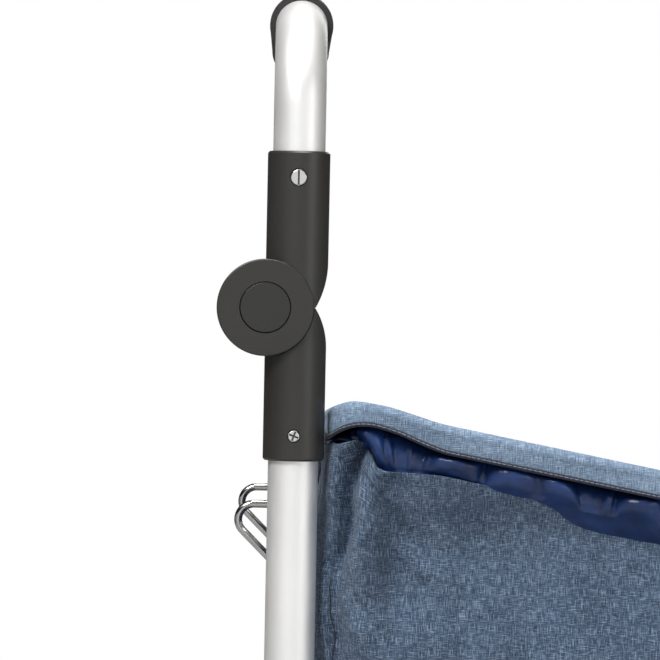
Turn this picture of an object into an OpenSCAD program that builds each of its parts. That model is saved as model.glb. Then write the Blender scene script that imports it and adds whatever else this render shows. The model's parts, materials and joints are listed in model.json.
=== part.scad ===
// Folding two-wheel shopping trolley: aluminium frame, push-button folding handle,
// cart hooks and a fabric bag with a flap. Millimetres, +Z up, +X towards the bag,
// the ground at z = 0 and the origin under the middle of the bounding box.

/* [Frame] */
// Distance between the axes of the two side tubes
tube_spacing = 300; // [240:5:360]
// Outer diameter of the side tubes
frame_tube_d = 25; // [22:0.5:28]
// Wall of every aluminium tube
tube_wall = 1.5; // [1:0.1:2]
// Height of the handle's folding axis above the ground
pivot_z = 805; // [650:5:960]
// Outer diameter of the two cross tubes
cross_tube_d = 16; // [12:0.5:20]
// Drop of the upper cross tube below the folding axis
upper_cross_drop = 102; // [90:1:140]
// Height of the lower cross tube
lower_cross_z = 205; // [170:5:400]

/* [Handle] */
// Outer diameter of the handle tube
handle_tube_d = 26; // [22:0.5:28]
// Height of the grip's axis above the folding axis
grip_rise = 142.5; // [125:0.5:320]
// Centreline radius of the handle's two corner bends
handle_bend_r = 40; // [30:1:55]
// Thickness of the grip on the handle tube
grip_wall = 3; // [2:0.25:6]
// How far the grip reaches round each corner bend, in degrees
grip_wrap = 12; // [5:1:60]

/* [Knuckle] */
// Wall of the upper knuckle's sleeve round the handle tube
upper_sleeve_wall = 2.5; // [2:0.25:4]
// Wall of the lower knuckle's sleeve round the side tube
lower_sleeve_wall = 2.75; // [2:0.25:4]
// Distance from the folding axis back from the tube axes
pivot_offset = 15.25; // [15.25:0.25:18]
// Length of the upper knuckle above the folding axis
upper_knuckle_l = 77.5; // [66:0.5:95]
// Length of the lower knuckle below the folding axis
lower_knuckle_l = 75.8; // [66:0.5:90]
// Diameter of the hinge discs
disc_d = 48; // [46:0.5:52]
// Width of a knuckle across its two hinge discs
knuckle_w = 35; // [33:0.5:40]
// Width of the lower knuckle's middle boss
boss_w = 14.2; // [13:0.2:16]
// Diameter of the push button
button_d = 24.7; // [22:0.1:28]
// Travel of the push button
button_travel = 3; // [2:0.25:3]
// Diameter of the hinge pin
pin_d = 6; // [5:0.5:8]
// Number of teeth on the lock gear
gear_teeth = 8; // [6:1:12]

/* [Hooks] */
// Diameter of the hook wire
hook_wire_d = 4.1; // [3:0.1:5]
// Distance from the middle to each hook
hook_y = 80; // [40:5:110]
// Reach of the hooks behind the side tubes' axes
hook_reach = 29.6; // [24:0.2:60]

/* [Bag] */
// Width of the bag
bag_w = 320; // [260:5:330]
// Depth of the bag from back to front
bag_depth = 250; // [200:5:300]
// Corner radius of the bag seen from above
bag_corner_r = 32; // [20:1:60]
// Thickness of the bag's padded wall
bag_wall = 2.5; // [1.5:0.1:4]
// Height of the flap's back edge below the folding axis
flap_drop = 50; // [46:1:70]
// Width of the flap's closure tab
tab_w = 26; // [20:1:40]

/* [Wheels and base] */
// Diameter of the wheels
wheel_d = 180; // [140:5:220]
// Width of the tyres
tyre_w = 26; // [20:1:36]
// Diameter of the wheel axle
axle_d = 10; // [8:0.5:12]
// Distance of the axle behind the side tubes' axes
axle_back = 16; // [0:1:30]
// Wall of the axle brackets round the side tubes
bracket_wall = 3; // [2.5:0.25:5]
// Height of the base tube's axis
base_z = 118; // [110:1:150]
// Diameter of the base tube
base_tube_d = 16; // [12:0.5:20]
// Distance of the base tube's front bar ahead of the side tubes' axes
base_reach = 246; // [190:2:290]
// Diameter of the front leg's rod
leg_d = 12; // [10:0.5:16]
// Half the distance between the front leg's two posts
leg_half = 75; // [50:5:110]

/* [Hidden] */
$fn = 96;
running = 0.05;                      // radial clearance of a pin in its bore
clear = 0.3;                         // gap between pieces that move past each other
seat = 0.1;                          // gap where one fixed piece sits on another
half = tube_spacing / 2;
wheel_r = wheel_d / 2;
disc_r = disc_d / 2;
ear_y = boss_w / 2 + clear;          // inner face of each hinge disc, from the knuckle's middle
face_y = knuckle_w / 2;              // outer face of each hinge disc
boss_r = disc_r - 1.7;
upper_r = handle_tube_d / 2 + upper_sleeve_wall;
lower_r = frame_tube_d / 2 + lower_sleeve_wall;
bracket_r = frame_tube_d / 2 + bracket_wall;
grip_r = handle_tube_d / 2 + grip_wall;
tube_seat = disc_r + 0.5;            // where both tubes end, from the folding axis
edge = 0.8;                          // rounding of the hinge discs' rims

// Push button, lock gear and spring, measured outwards from the knuckle's middle
button_face = face_y - 0.1;
button_cap = 1.8;
button_skirt = 2.8;
button_hole_r = button_d / 2 + 0.45;
web_t = 1.5;                         // wall between button pocket and lock gear
web_out = button_face - button_skirt - button_travel - clear;
web_in = web_out - web_t;
pin_head_t = 0.8;
gear_l = 6;
gear_out = web_in - 0.2;
gear_in = gear_out - gear_l;
gear_tip_r = 17;
gear_root_r = 14.2;
gear_pocket_in = gear_in - button_travel - clear;
leg_pin_r = 1.3;
leg_pin_at = 8.6;
spring_r = 5;
spring_wire_r = 0.45;
spring_pocket_r = 6.3;
gear_recess = gear_out - 1.8;
spring_seat = -4;

// Screws through the knuckles into the tubes
upper_screw_z = 64.4;
lower_screw_z = 63.3;
screw_r = 2;
upper_head_r = 3.95;
lower_head_r = 2.8;
head_t = 1.3;
screw_l = 8;

// Handle path
bend_z = pivot_z + grip_rise - handle_bend_r;
grip_z = pivot_z + grip_rise;
straight_half = half - handle_bend_r;

// Hooks
hook_top_z = pivot_z - upper_cross_drop;
hook_wire_r = hook_wire_d / 2;
hook_bend_r = 8;
hook_bend_x = -hook_reach + hook_wire_r + hook_bend_r;
hook_slope = 45;                     // angle of the lower leg from level
hook_leg = 21;
hook_end_x = sqrt(pow(cross_tube_d / 2 - tube_wall, 2) - pow(hook_wire_r, 2)) - seat;

// Bag, its profiles measured from the tube axes and the folding axis
corner_reach = bag_corner_r + max(lower_r, bracket_r) + clear;
corner_inset = max(0, half - bag_w / 2 + bag_corner_r);
bag_back = max(frame_tube_d / 2 + 2,
  sqrt(max(0, pow(corner_reach, 2) - pow(corner_inset, 2))) - bag_corner_r);
bag_front = bag_back + bag_depth;
bag_floor = base_z + base_tube_d / 2 + clear;
slack = 5;                           // how far the flap overhangs the bag in front
flap_back = bag_back + 2;
flap_front = bag_front + slack;
flap_hinge_x = bag_back + 5.5;
flap_hinge_z = pivot_z - flap_drop;
fall = 0.19;                         // slope of the flap and of the mouth towards the front
shoulder_x = bag_back + 30;          // where the slope starts
liner_gap = 0.5;
liner_drop = 2;                      // least gap under the flap
mouth_x = 100;
mouth_y = 120;
liner_t = 26;
board_t = 3;
tab_t = 2;
tab_l = 52;
stud_r = 7;

// Straps that hold the bag to the cross tubes
strap_w = 30;
strap_t = 1.5;
strap_y = 42;

// Wheels
hub_r = 17;
hub_w = 34;
spacer_l = 4.5;                       // least distance from a bracket to the wheel's hub
wheel_gap = 10;                      // least distance from the bag to a tyre
wheel_y = max(half + bracket_r + spacer_l + hub_w / 2, bag_w / 2 + wheel_gap + tyre_w / 2);
rim_r = wheel_r - 13;
rim_w = tyre_w - 6;
bush_r = axle_d / 2 + 3;
axle_end = wheel_y + hub_w / 2 + 5;
cap_r = 11;

// Base
socket_r = base_tube_d / 2 + 3;
base_bend_r = 30;
bracket_top = base_z + 24;
bracket_screw_z = bracket_top - 10;
bracket_seat = max(base_z - 6, wheel_r + axle_d / 2 + 1);   // where the side tubes end
axle_boss_r = 14;
leg_bend_r = 20;
foot_r = leg_d / 2 + 3;
foot_w = 34;

// Middle of the bounding box, ahead of the tube axes
x_back = -axle_back - wheel_r;
x_front = flap_front + tab_t + seat + 1.4;
x_mid = (x_back + x_front) / 2;

// ---- helpers ----

module placed() {
  translate([-x_mid, 0, 0]) children();
}

// Left pieces are at -Y. A right piece is the left one mirrored.
module on_side(side) {
  if (side < 0) placed() children();
  else placed() mirror([0, 1, 0]) children();
}

module both_sides() {
  on_side(-1) children();
  on_side(1) children();
}

// Frame of the left knuckle: folding axis at the origin, +Y outwards
module in_knuckle() {
  translate([-pivot_offset, -half, pivot_z]) mirror([0, 1, 0]) children();
}

// Cylinder along Y from y0 to y1
module rod_y(r, y0, y1) {
  translate([0, y0, 0]) rotate([-90, 0, 0]) cylinder(r = r, h = y1 - y0);
}

// Cylinder along X from x0 to x1
module rod_x(r, x0, x1) {
  translate([x0, 0, 0]) rotate([0, 90, 0]) cylinder(r = r, h = x1 - x0);
}

// Disc along Y with a rounded outer rim at y1
module rounded_disc(r, y0, y1, e) {
  translate([0, y0, 0]) rotate([-90, 0, 0]) rotate_extrude() {
    square([r - e, y1 - y0]);
    square([r, y1 - y0 - e]);
    translate([r - e, y1 - y0 - e]) circle(r = e);
  }
}

module rounded_rect(x0, x1, w, r) {
  translate([x0 + r, -w / 2]) square([x1 - x0 - 2 * r, w]);
  translate([x0, -w / 2 + r]) square([x1 - x0, w - 2 * r]);
  for (x = [x0 + r, x1 - r], y = [-w / 2 + r, w / 2 - r]) translate([x, y]) circle(r = r);
}

// Outline in X and Z, pushed out both ways along Y
module side_profile(points, w) {
  rotate([90, 0, 0]) translate([0, 0, -w / 2]) linear_extrude(w) polygon(points);
}

// Quarter bend in the YZ plane that leaves the left upright and turns over to the middle
module corner_bend(r, bend_r, from, to) {
  rotate([90, 0, -90]) rotate([0, 0, from]) rotate_extrude(angle = to - from)
    translate([bend_r, 0]) circle(r = r);
}

// ---- side tubes and cross tubes ----

module frame_tube() {
  color("silver") translate([0, -half, 0]) difference() {
    translate([0, 0, bracket_seat]) cylinder(d = frame_tube_d, h = pivot_z - tube_seat - bracket_seat);
    cylinder(d = frame_tube_d - 2 * tube_wall, h = pivot_z);
    translate([0, 0, pivot_z - lower_screw_z]) rod_y(screw_r + running, -frame_tube_d, 0);
    translate([0, 0, bracket_screw_z]) rod_y(screw_r + running, -frame_tube_d, 0);
  }
}

module cross_tube(z, holes) {
  color("silver") placed() difference() {
    translate([0, 0, z]) rod_y(cross_tube_d / 2, -half, half);
    translate([0, 0, z]) rod_y(cross_tube_d / 2 - tube_wall, -half, half);
    for (s = [-1, 1]) translate([0, s * half, z - cross_tube_d])
      cylinder(d = frame_tube_d + 2 * seat, h = 2 * cross_tube_d);
    if (holes) for (s = [-1, 1]) translate([0, s * hook_y, z]) rod_x(hook_wire_r + running, -cross_tube_d, 0);
  }
}

module frame_tube_left() { on_side(-1) frame_tube(); }
module frame_tube_right() { on_side(1) frame_tube(); }
module cross_tube_upper() { cross_tube(hook_top_z, true); }
module cross_tube_lower() { cross_tube(lower_cross_z, false); }

// Wire hook: level top leg, round bend, and a leg that slopes down and forwards to a free end
module cart_hook() {
  color("gainsboro") translate([0, -hook_y, hook_top_z]) {
    rod_x(hook_wire_r, hook_bend_x, hook_end_x);
    translate([hook_bend_x, 0, -hook_bend_r]) rotate([90, 0, 0]) {
      rotate([0, 0, 90]) rotate_extrude(angle = 90 + hook_slope)
        translate([hook_bend_r, 0]) circle(r = hook_wire_r);
      rotate([0, 0, 180 + hook_slope]) translate([hook_bend_r, 0, 0]) rotate([-90, 0, 0]) {
        cylinder(r = hook_wire_r, h = hook_leg);
        translate([0, 0, hook_leg]) sphere(r = hook_wire_r);
      }
    }
  }
}

module cart_hook_left() { on_side(-1) cart_hook(); }
module cart_hook_right() { on_side(1) cart_hook(); }

// ---- folding knuckles ----

// Toothed outline of the lock gear, grown by g
module gear_outline(g) {
  step = 180 / gear_teeth;
  polygon([for (i = [0 : 2 * gear_teeth - 1], s = [-0.3, 0.3])
    (i % 2 == 0 ? gear_tip_r + g : gear_root_r + g)
      * [cos((i + s) * step), sin((i + s) * step)]]);
}

module gear_prism(g, y0, y1) {
  translate([0, y0, 0]) rotate([-90, 0, 0]) linear_extrude(y1 - y0) gear_outline(g);
}

// Curved cut at the front of a sleeve, from the folding axis up by h with depth d
module front_notch(sleeve_r, h, d) {
  arc_r = (h * h + d * d) / (2 * d);
  front = pivot_offset + sleeve_r;
  difference() {
    translate([front - d - 1, -sleeve_r - 1, -1]) cube([d + 2, 2 * sleeve_r + 2, h + 1]);
    translate([front - arc_r, 0, h]) rod_y(arc_r, -sleeve_r - 2, sleeve_r + 2);
  }
}

// Screw along Y: recess, head and shank measured in from the sleeve's surface
module screw_hole(sleeve_r, head_r) {
  rod_y(screw_r + running, 0, sleeve_r);
  rod_y(head_r + 0.65, sleeve_r - head_t - 0.15, sleeve_r + 1);
}

module screw(sleeve_r, head_r, slots) {
  difference() {
    union() {
      rod_y(screw_r, sleeve_r - head_t - screw_l, sleeve_r - head_t);
      rounded_disc(head_r, sleeve_r - head_t - 0.05, sleeve_r - 0.1, 0.5);
    }
    for (a = slots) rotate([0, a, 0]) translate([-0.5, sleeve_r - 0.8, -head_r])
      cube([1, 1, 2 * head_r]);
  }
}

module upper_knuckle() {
  color([0.28, 0.28, 0.27]) in_knuckle() difference() {
    union() {
      translate([pivot_offset, 0, clear]) {
        cylinder(r = upper_r, h = upper_knuckle_l - clear - 1);
        translate([0, 0, upper_knuckle_l - clear - 1]) cylinder(r1 = upper_r, r2 = upper_r - 0.8, h = 1);
      }
      rounded_disc(disc_r, ear_y, face_y, edge);
      mirror([0, 1, 0]) rounded_disc(disc_r, ear_y, face_y, edge);
    }
    front_notch(upper_r, 23, 6);
    rod_y(boss_r + clear, -ear_y, ear_y);
    translate([pivot_offset, 0, tube_seat]) cylinder(d = handle_tube_d + 2 * running, h = upper_knuckle_l);
    translate([pivot_offset, 0, upper_screw_z]) screw_hole(upper_r, upper_head_r);
    rod_y(button_hole_r, web_out, knuckle_w);
    rod_y(gear_tip_r + clear, 0, web_in);
    rod_y(pin_d / 2 + running, -knuckle_w, knuckle_w);
    rod_y(pin_d, -knuckle_w, -face_y + 1.6);
    for (a = [0, 120, 240]) rotate([0, a, 0]) translate([leg_pin_at, 0, 0])
      rod_y(leg_pin_r + clear, 0, knuckle_w);
  }
}

module lower_knuckle() {
  color([0.27, 0.27, 0.26]) in_knuckle() difference() {
    union() {
      difference() {
        translate([pivot_offset, 0, -lower_knuckle_l]) {
          translate([0, 0, 1]) cylinder(r = lower_r, h = lower_knuckle_l - 1 - clear);
          cylinder(r1 = lower_r - 0.8, r2 = lower_r, h = 1);
        }
        for (s = [-1, 1]) translate([0, s * (boss_w + knuckle_w) / 2, 0])
          rod_y(disc_r + clear, -knuckle_w / 2, knuckle_w / 2);
      }
      rod_y(boss_r, -boss_w / 2, boss_w / 2);
    }
    mirror([0, 0, 1]) front_notch(lower_r, 20, 5.7);
    translate([pivot_offset, 0, -tube_seat - lower_knuckle_l])
      cylinder(d = frame_tube_d + 2 * running, h = lower_knuckle_l);
    translate([pivot_offset, 0, -lower_screw_z]) screw_hole(lower_r, lower_head_r);
    gear_prism(clear, gear_pocket_in, boss_w);
    rod_y(spring_pocket_r, spring_seat, boss_w);
    rod_y(pin_d / 2 + running, -knuckle_w, knuckle_w);
  }
}

module lock_gear() {
  color("dimgray") in_knuckle() difference() {
    gear_prism(0, gear_in, gear_out);
    rod_y(pin_d / 2 + 0.1, -knuckle_w, knuckle_w);
    rod_y(spring_pocket_r, gear_in - 1, gear_recess);
  }
}

// Coil along Y as one tube swept round a helix
module coil(y0, y1, turns) {
  steps = 16;
  sides = 6;
  n = turns * steps;
  function ring(i, k) = let (
    a = 360 * i / steps,
    b = 360 * k / sides,
    r = spring_r + spring_wire_r * cos(b))
    [r * cos(a), y0 + (y1 - y0) * i / n + spring_wire_r * sin(b), r * sin(a)];
  polyhedron(
    points = [for (i = [0 : n], k = [0 : sides - 1]) ring(i, k)],
    faces = concat(
      [[for (k = [0 : sides - 1]) k]],
      [for (i = [0 : n - 1], k = [0 : sides - 1]) [i * sides + k, (i + 1) * sides + k,
        (i + 1) * sides + (k + 1) % sides, i * sides + (k + 1) % sides]],
      [[for (k = [sides - 1 : -1 : 0]) n * sides + k]]));
}

module lock_spring() {
  color("lightgray") in_knuckle()
    coil(spring_seat + spring_wire_r + seat, gear_recess - spring_wire_r - seat, 5);
}

module push_button() {
  color([0.25, 0.25, 0.24]) in_knuckle() {
    difference() {
      rounded_disc(button_d / 2, button_face - button_skirt, button_face, 0.4);
      rod_y(button_d / 2 - 1.2, button_face - button_skirt - 1, button_face - button_cap);
    }
    for (a = [0, 120, 240]) rotate([0, a, 0]) translate([leg_pin_at, 0, 0])
      rod_y(leg_pin_r, gear_out + seat, button_face - button_cap + 0.5);
  }
}

module hinge_pin() {
  in_knuckle() {
    rod_y(pin_d / 2, -face_y + 0.4, web_out + seat + pin_head_t / 2);
    rod_y(pin_d / 2 + 1.5, web_out + seat, web_out + seat + pin_head_t);
    rod_y(pin_d - 0.6, -face_y + 0.3, -face_y + 1.5);
  }
}

module upper_knuckle_left() { on_side(-1) upper_knuckle(); }
module upper_knuckle_right() { on_side(1) upper_knuckle(); }
module lower_knuckle_left() { on_side(-1) lower_knuckle(); }
module lower_knuckle_right() { on_side(1) lower_knuckle(); }
module lock_gear_left() { on_side(-1) lock_gear(); }
module lock_gear_right() { on_side(1) lock_gear(); }
module lock_spring_left() { on_side(-1) lock_spring(); }
module lock_spring_right() { on_side(1) lock_spring(); }
module push_button_left() { on_side(-1) push_button(); }
module push_button_right() { on_side(1) push_button(); }
module hinge_pins() { color("silver") both_sides() hinge_pin(); }

module upper_knuckle_screws() {
  color("gainsboro") both_sides() in_knuckle()
    translate([pivot_offset, 0, upper_screw_z]) screw(upper_r, upper_head_r, [0]);
}

module lower_knuckle_screws() {
  color("gainsboro") both_sides() in_knuckle()
    translate([pivot_offset, 0, -lower_screw_z]) screw(lower_r, lower_head_r, [20, 110]);
}

// ---- handle ----

// One upright, corner bend and half of the top bar, for each side
module handle_half(r) {
  translate([0, -half, pivot_z + tube_seat]) cylinder(r = r, h = bend_z - pivot_z - tube_seat);
  translate([0, -straight_half, bend_z]) corner_bend(r, handle_bend_r, 0, 90);
}

module handle_path(r) {
  handle_half(r);
  mirror([0, 1, 0]) handle_half(r);
  translate([0, 0, grip_z]) rod_y(r, -straight_half, straight_half);
}

module handle_tube() {
  color("silver") placed() difference() {
    handle_path(handle_tube_d / 2);
    handle_path(handle_tube_d / 2 - tube_wall);
    for (s = [0, 1]) mirror([0, s, 0]) translate([0, -half, pivot_z + upper_screw_z])
      rod_y(screw_r + running, -handle_tube_d, 0);
  }
}

// Sleeve over the top bar and part of each corner bend, cut square to the bend
module handle_grip() {
  reach = 2 * grip_rise;
  color([0.17, 0.16, 0.16]) placed() difference() {
    handle_path(grip_r);
    handle_path(handle_tube_d / 2 + running);
    for (s = [0, 1]) mirror([0, s, 0]) translate([0, -straight_half, bend_z]) rotate([90, 0, -90])
      rotate([0, 0, 90 - grip_wrap]) translate([-reach, -2 * reach, -2 * grip_r])
        cube([2 * reach, 2 * reach, 4 * grip_r]);
  }
}

// ---- axle, brackets and wheels ----

module axle_bracket() {
  color([0.2, 0.2, 0.2]) translate([0, -half, 0]) difference() {
    union() {
      translate([0, 0, wheel_r - axle_boss_r]) cylinder(r = bracket_r, h = bracket_top - wheel_r + axle_boss_r);
      translate([-axle_back, 0, wheel_r]) rod_y(axle_boss_r, -bracket_r, bracket_r);
      translate([-axle_back, -bracket_r + 3, wheel_r - axle_boss_r])
        cube([axle_back, 2 * bracket_r - 6, 2 * axle_boss_r]);
      translate([0, 0, base_z]) rod_x(socket_r, 0, bracket_r + 16);
    }
    translate([0, 0, bracket_seat]) cylinder(d = frame_tube_d + 2 * running, h = bracket_top);
    translate([-axle_back, 0, wheel_r]) rod_y(axle_d / 2 + running, -half, half);
    translate([0, 0, base_z]) rod_x(base_tube_d / 2 + running, frame_tube_d / 2 + 1.2, half);
    translate([bracket_r, -half, base_z + base_tube_d / 2 - 1]) cube([half, 2 * half, bracket_top]);
    translate([0, 0, bracket_screw_z]) mirror([0, 1, 0]) screw_hole(bracket_r, upper_head_r);
  }
}

module axle_bracket_left() { on_side(-1) axle_bracket(); }
module axle_bracket_right() { on_side(1) axle_bracket(); }

module bracket_screws() {
  color("gainsboro") both_sides() translate([0, -half, bracket_screw_z])
    mirror([0, 1, 0]) screw(bracket_r, upper_head_r, [0, 90]);
}

module axle() {
  color("lightgray") placed() translate([-axle_back, 0, wheel_r]) rod_y(axle_d / 2, -axle_end, axle_end);
}

// Left wheel's frame: axle on the Y axis, hub's middle at y = 0
module in_wheel() {
  translate([-axle_back, -wheel_y, wheel_r]) children();
}

module axle_spacers() {
  color("gray") both_sides() in_wheel() difference() {
    rod_y(axle_d / 2 + 3, hub_w / 2 + clear, wheel_y - half - bracket_r - clear);
    rod_y(axle_d / 2 + running, 0, wheel_y);
  }
}

module axle_caps() {
  color([0.15, 0.15, 0.15]) both_sides() in_wheel() difference() {
    mirror([0, 1, 0]) rounded_disc(cap_r, hub_w / 2 + clear, axle_end - wheel_y + 1.5, 1.2);
    rod_y(axle_d / 2 + running, wheel_y - axle_end - seat, hub_w);
  }
}

module wheel() {
  spokes = 6;
  color([0.55, 0.56, 0.57]) in_wheel() difference() {
    union() {
      rod_y(hub_r, -hub_w / 2, hub_w / 2);
      difference() {
        rod_y(rim_r, -rim_w / 2, rim_w / 2);
        rod_y(rim_r - 5, -rim_w, rim_w);
      }
      for (i = [0 : spokes - 1]) rotate([0, i * 360 / spokes, 0])
        translate([hub_r - 2, -rim_w / 2 + 2, -5]) cube([rim_r - hub_r - 1, rim_w - 4, 10]);
    }
    rod_y(bush_r, -hub_w, hub_w);
  }
}

module tyre() {
  shoulder = 6;
  color([0.12, 0.12, 0.12]) in_wheel() rotate([-90, 0, 0]) difference() {
    rotate_extrude() {
      translate([0, -tyre_w / 2 + shoulder]) square([wheel_r, tyre_w - 2 * shoulder]);
      translate([0, -tyre_w / 2]) square([wheel_r - shoulder, tyre_w]);
      for (s = [-1, 1]) translate([wheel_r - shoulder, s * (tyre_w / 2 - shoulder)]) circle(r = shoulder);
    }
    translate([0, 0, -tyre_w]) cylinder(r = rim_r + running, h = 2 * tyre_w);
  }
}

module wheel_bushes() {
  color("white") in_wheel() for (s = [0, 1]) mirror([0, s, 0]) difference() {
    rod_y(bush_r - running, 3, hub_w / 2);
    rod_y(axle_d / 2 + running, 0, hub_w);
  }
}

module wheel_left() { on_side(-1) wheel(); }
module wheel_right() { on_side(1) wheel(); }
module tyre_left() { on_side(-1) tyre(); }
module tyre_right() { on_side(1) tyre(); }
module wheel_bushes_left() { on_side(-1) wheel_bushes(); }
module wheel_bushes_right() { on_side(1) wheel_bushes(); }

// ---- base and front leg ----

module base_half(r, x0) {
  translate([0, -half, base_z]) rod_x(r, x0, base_reach - base_bend_r);
  translate([base_reach - base_bend_r, -half + base_bend_r, base_z]) rotate([0, 0, -90])
    rotate_extrude(angle = 90) translate([base_bend_r, 0]) circle(r = r);
}

module base_path(r, x0) {
  base_half(r, x0);
  mirror([0, 1, 0]) base_half(r, x0);
  translate([base_reach, 0, base_z]) rod_y(r, -half + base_bend_r, half - base_bend_r);
}

module base_tube() {
  color("silver") placed() difference() {
    base_path(base_tube_d / 2, frame_tube_d / 2 + 1.2 + seat);
    base_path(base_tube_d / 2 - tube_wall, 0);
  }
}

// U-shaped rod under the base tube's front bar
module front_leg() {
  color("silver") placed() translate([base_reach, 0, 0]) difference() {
    union() {
      for (s = [0, 1]) mirror([0, s, 0]) {
        translate([0, -leg_half, foot_r + leg_bend_r]) cylinder(d = leg_d, h = base_z - foot_r - leg_bend_r);
        translate([0, -leg_half + leg_bend_r, foot_r + leg_bend_r]) mirror([0, 0, 1])
          corner_bend(leg_d / 2, leg_bend_r, 0, 90);
      }
      translate([0, 0, foot_r]) rod_y(leg_d / 2, -leg_half + leg_bend_r, leg_half - leg_bend_r);
    }
    translate([0, 0, base_z]) rod_y(base_tube_d / 2 + seat, -half, half);
  }
}

module leg_feet() {
  gap = 12;
  color([0.13, 0.13, 0.13]) placed() translate([base_reach, 0, foot_r])
    for (s = [0, 1]) mirror([0, s, 0]) difference() {
      rod_y(foot_r, gap, gap + foot_w);
      rod_y(leg_d / 2 + running, 0, half);
    }
}

// ---- bag ----

// Top edge of the bag's walls, from back to front
bag_edge = [
  [bag_back, pivot_z - flap_drop - 20],
  [bag_back + 9.5, pivot_z - flap_drop - 18],
  [bag_back + 17.5, pivot_z - flap_drop - 15],
  [bag_back + 23.5, pivot_z - flap_drop - 20],
  [shoulder_x, pivot_z - flap_drop - 29],
  [bag_front, pivot_z - flap_drop - 29 - fall * (bag_front - shoulder_x)]];

// Top of the flap, from back to front
flap_top = [
  [flap_back, flap_hinge_z],
  [bag_back + 7.5, flap_hinge_z + 3],
  [bag_back + 15.5, flap_hinge_z + 4],
  [shoulder_x, flap_hinge_z + 1.5],
  [flap_front - 8, flap_hinge_z + 1.5 - fall * (flap_front - 8 - shoulder_x)],
  [flap_front, flap_hinge_z - 4 - fall * (flap_front - shoulder_x)]];

flap_bottom = [
  [flap_front, flap_hinge_z - 20 - fall * (flap_front - shoulder_x)],
  [flap_front - 8, flap_hinge_z - 15 - fall * (flap_front - 8 - shoulder_x)],
  [shoulder_x, flap_hinge_z - 13],
  [bag_back + 17.5, flap_hinge_z - 9],
  [bag_back + 7.5, flap_hinge_z - 11],
  [flap_back, flap_hinge_z - 15]];

// Gathered liner between the mouth of the bag and the flap
liner_top = [
  [bag_back + bag_wall + liner_gap, flap_hinge_z - 19],
  [bag_back + 7.5, flap_hinge_z - 17.5],
  [bag_back + 14, flap_hinge_z - 15.5],
  [bag_back + 20.5, flap_hinge_z - 11 - liner_drop],
  [shoulder_x, flap_hinge_z - 13 - liner_drop],
  [bag_front - bag_wall - liner_gap,
    flap_hinge_z - 15 - liner_drop - fall * (bag_front - bag_wall - liner_gap - shoulder_x)]];

module bag_body() {
  color([0.32, 0.42, 0.56]) placed() difference() {
    intersection() {
      translate([0, 0, bag_floor]) linear_extrude(pivot_z)
        rounded_rect(bag_back, bag_front, bag_w, bag_corner_r);
      side_profile(concat(bag_edge, [[bag_front, 0], [bag_back, 0]]), bag_w + 2);
    }
    translate([0, 0, bag_floor + bag_wall]) linear_extrude(pivot_z)
      rounded_rect(bag_back + bag_wall, bag_front - bag_wall, bag_w - 2 * bag_wall, bag_corner_r - bag_wall);
  }
}

module bag_liner() {
  inset = bag_wall + liner_gap;
  middle = (bag_back + bag_front) / 2;
  below = [for (i = [len(liner_top) - 1 : -1 : 0])
    [liner_top[i][0], min(liner_top[i][1], flap_hinge_z - 13) - liner_t]];
  color([0.14, 0.22, 0.45]) placed() difference() {
    intersection() {
      translate([0, 0, bag_floor]) linear_extrude(pivot_z)
        rounded_rect(bag_back + inset, bag_front - inset, bag_w - 2 * inset, bag_corner_r - inset);
      side_profile(concat(liner_top, below), bag_w);
    }
    linear_extrude(pivot_z) rounded_rect(middle - mouth_x / 2, middle + mouth_x / 2, mouth_y, 20);
  }
}

module bottom_board() {
  inset = bag_wall + 1.5;
  color("darkslategray") placed() translate([0, 0, bag_floor + bag_wall + seat]) linear_extrude(board_t)
    rounded_rect(bag_back + inset, bag_front - inset, bag_w - 2 * inset, bag_corner_r - inset);
}

// Webbing loops round both cross tubes, sewn to the back of the bag
module bag_straps() {
  r = cross_tube_d / 2 + seat;
  color([0.1, 0.12, 0.18]) placed() for (z = [hook_top_z, lower_cross_z], s = [-1, 1])
    translate([0, s * strap_y - strap_w / 2, z]) difference() {
      union() {
        rod_y(r + strap_t, 0, strap_w);
        translate([0, 0, -strap_t]) cube([bag_back - seat, strap_w, 2 * strap_t]);
        translate([bag_back - seat - strap_t, 0, -22]) cube([strap_t, strap_w, 44]);
      }
      rod_y(r, -1, strap_w + 1);
    }
}

module bag_flap() {
  color([0.45, 0.55, 0.65]) placed() intersection() {
    linear_extrude(2 * pivot_z) rounded_rect(flap_back, flap_front, bag_w + 2, bag_corner_r);
    side_profile(concat(flap_top, flap_bottom), bag_w + 4);
  }
}

tab_top = flap_hinge_z - 8 - fall * (flap_front - shoulder_x);
stud_z = tab_top - tab_l + 12;

module closure_tab() {
  color([0.1, 0.12, 0.2]) placed()
    translate([flap_front + seat, -tab_w / 2, tab_top - tab_l]) cube([tab_t, tab_w, tab_l]);
}

module stud_cap() {
  x = flap_front + seat + tab_t;
  color("silver") placed() translate([0, 0, stud_z]) {
    rod_x(stud_r, x + 0.1, x + 1.4);
    rod_x(stud_r - 1, x - tab_t - 1.6, x - tab_t - 0.1);
  }
}

module stud_socket() {
  color("silver") placed() translate([0, 0, stud_z])
    rod_x(stud_r - 1, bag_front + seat, bag_front + 2.6);
}

frame_tube_left();
frame_tube_right();
cross_tube_upper();
cross_tube_lower();
cart_hook_left();
cart_hook_right();
lower_knuckle_left();
lower_knuckle_right();
lower_knuckle_screws();
hinge_pins();
lock_gear_left();
lock_gear_right();
lock_spring_left();
lock_spring_right();
push_button_left();
push_button_right();
upper_knuckle_left();
upper_knuckle_right();
upper_knuckle_screws();
handle_tube();
handle_grip();
axle();
axle_bracket_left();
axle_bracket_right();
bracket_screws();
axle_spacers();
axle_caps();
wheel_left();
wheel_right();
tyre_left();
tyre_right();
wheel_bushes_left();
wheel_bushes_right();
base_tube();
front_leg();
leg_feet();
bag_body();
bag_liner();
bottom_board();
bag_straps();
bag_flap();
closure_tab();
stud_cap();
stud_socket();
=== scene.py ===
"""Folding two-wheel shopping trolley: finishes, fabric, studio and camera around the CAD frame."""
import json
import math

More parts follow.
